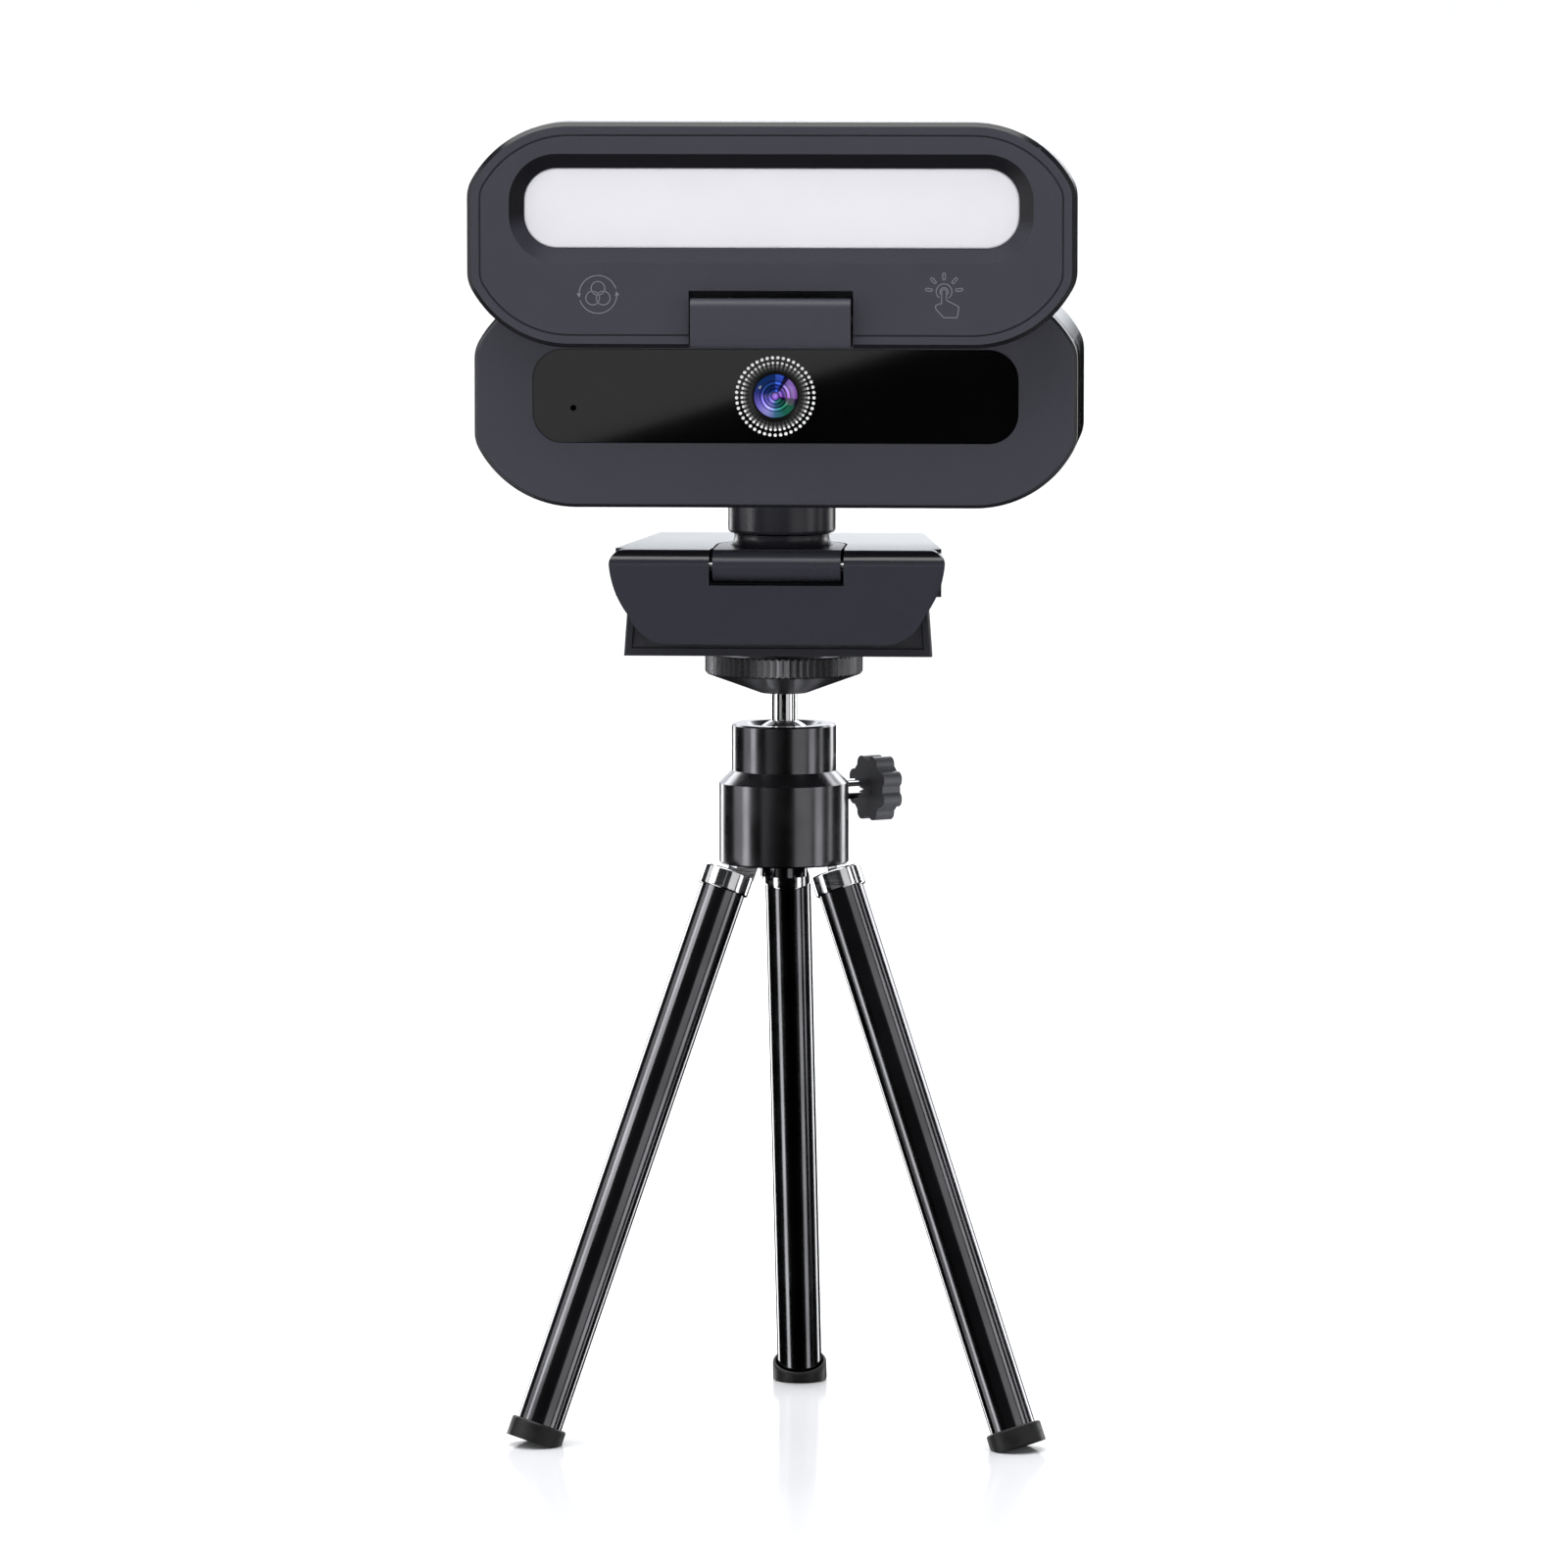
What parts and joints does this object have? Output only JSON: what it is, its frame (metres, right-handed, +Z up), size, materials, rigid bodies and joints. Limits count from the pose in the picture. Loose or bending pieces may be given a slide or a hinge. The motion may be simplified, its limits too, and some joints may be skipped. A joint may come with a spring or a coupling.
{
  "type": "webcam on tripod",
  "caption": "Webcam with a fold-down light panel and a hinged monitor clamp, screwed to a mini ball-head tripod with folding telescopic legs.",
  "frame": {"origin": "middle of the whole object's footprint box, on the ground", "axes": "+Z up, -Y the side the lens looks to, +X to the right of someone facing the lens"},
  "size_m": [0.1, 0.0899, 0.2215],
  "materials": {
    "slate_plastic": "matt, fine grain",
    "gloss_black": "gloss",
    "window_black": "mirror gloss",
    "clamp_plastic": "satin moulded",
    "black_anodised": "gloss black coating",
    "chrome": "polished",
    "steel": "bright",
    "rubber": "matt",
    "pad_rubber": "matt",
    "nylon": "natural nylon",
    "knob_plastic": "satin",
    "brass": "turned",
    "lens_glass": "coated",
    "lens_black": "matt black",
    "board_green": "solder mask",
    "chip_black": "moulded package",
    "copper": "plated copper",
    "led_yellow": "phosphor",
    "diffuser_white": "frosted",
    "reflector_white": "matt white"
  },
  "bodies": {
    "head": {"head_housing": "black_anodised", "leg_hub": "black_anodised", "leg_pins": "steel", "hub_screw": "steel"},
    "ball_seat": {"ball_seat": "nylon"},
    "brake": {"brake_pad": "nylon"},
    "knob": {"knob_screw": "chrome", "lock_knob": "knob_plastic"},
    "mount": {"ball_stud": "chrome", "mount_disc": "black_anodised", "camera_screw": "steel", "disc_pad": "rubber", "clamp_arm": "clamp_plastic", "arm_cover": "clamp_plastic", "foot_plate": "clamp_plastic", "foot_pad": "pad_rubber", "thread_insert": "brass", "arm_pin": "steel"},
    "platform": {"clamp_platform": "clamp_plastic", "jaw_pad": "pad_rubber", "tongue_pin": "steel"},
    "tongue": {"tilt_tongue": "clamp_plastic"},
    "camera": {"front_bezel": "slate_plastic", "window": "window_black", "lens_ring": "chrome", "lens_barrel": "lens_black", "lens_glass": "lens_glass", "rear_lens": "lens_glass", "lens_holder": "lens_black", "image_sensor": "chip_black", "main_board": "board_green", "board_chips": "chip_black", "microphone": "copper", "mid_band": "gloss_black", "rear_casing": "gloss_black", "case_screws": "steel", "cable_gland": "rubber", "neck_collar": "clamp_plastic", "neck_screw": "steel", "hinge_block": "slate_plastic", "light_hinge_pin": "steel"},
    "light": {"light_front": "slate_plastic", "light_back": "gloss_black", "diffuser": "diffuser_white", "reflector_frame": "reflector_white", "led_board": "reflector_white", "leds": "led_yellow", "touch_pads": "copper"},
    "leg_back": {"leg_collar_back": "chrome", "leg_tube_back": "black_anodised"},
    "shin_back": {"inner_tube_back": "steel", "foot_back": "rubber"},
    "leg_left": {"leg_collar_left": "chrome", "leg_tube_left": "black_anodised"},
    "shin_left": {"inner_tube_left": "steel", "foot_left": "rubber"},
    "leg_right": {"leg_collar_right": "chrome", "leg_tube_right": "black_anodised"},
    "shin_right": {"inner_tube_right": "steel", "foot_right": "rubber"}
  },
  "joints": [
    {"name": "leg_fold_back", "type": "hinge", "parent": "head", "child": "leg_back", "pos_m": [0, 0.00017, 0.0983], "axis": [-1, 0, 0], "range_deg": [0, 21.2]},
    {"name": "leg_extend_back", "type": "slide", "parent": "leg_back", "child": "shin_back", "axis": [0, 0.3616, -0.9323], "range_m": [0, 0.07]},
    {"name": "leg_fold_left", "type": "hinge", "parent": "head", "child": "leg_left", "pos_m": [-0.00572, -0.00973, 0.0983], "axis": [0.5, -0.866, 0], "range_deg": [0, 21.2]},
    {"name": "leg_extend_left", "type": "slide", "parent": "leg_left", "child": "shin_left", "axis": [-0.3132, -0.1808, -0.9323], "range_m": [0, 0.07]},
    {"name": "leg_fold_right", "type": "hinge", "parent": "head", "child": "leg_right", "pos_m": [0.00572, -0.00973, 0.0983], "axis": [0.5, 0.866, 0], "range_deg": [0, 21.2]},
    {"name": "leg_extend_right", "type": "slide", "parent": "leg_right", "child": "shin_right", "axis": [0.3132, -0.1808, -0.9323], "range_m": [0, 0.07]},
    {"name": "ball_pan", "type": "hinge", "parent": "head", "child": "ball_seat", "pos_m": [0, -0.00643, 0.108], "axis": [0, 0, 1], "continuous": true},
    {"name": "ball_tilt", "type": "hinge", "parent": "ball_seat", "child": "mount", "pos_m": [0, -0.00643, 0.1145], "axis": [1, 0, 0], "range_deg": [-28, 28]},
    {"name": "brake_slide", "type": "slide", "parent": "head", "child": "brake", "axis": [0.809, 0.5878, 0], "range_m": [0, 0.0008]},
    {"name": "knob_turn", "type": "hinge", "parent": "brake", "child": "knob", "pos_m": [0, -0.00643, 0.1077], "axis": [0.809, 0.5878, 0], "range_deg": [0, 360]},
    {"name": "clamp_open", "type": "hinge", "parent": "mount", "child": "platform", "pos_m": [0, 0.01307, 0.1413], "axis": [-1, 0, 0], "range_deg": [0, 75]},
    {"name": "camera_tilt", "type": "hinge", "parent": "platform", "child": "tongue", "pos_m": [0, -0.02563, 0.14745], "axis": [1, 0, 0], "range_deg": [0, 30]},
    {"name": "camera_pan", "type": "hinge", "parent": "tongue", "child": "camera", "pos_m": [0, -0.01243, 0.152], "axis": [0, 0, 1], "continuous": true},
    {"name": "light_fold", "type": "hinge", "parent": "camera", "child": "light", "pos_m": [0, -0.04093, 0.1887], "axis": [1, 0, 0], "range_deg": [-10, 180]}
  ],
  "couplings": [
    {"joint": "knob_turn", "follows": "brake_slide", "rad_per_m": 7853.9}
  ]
}
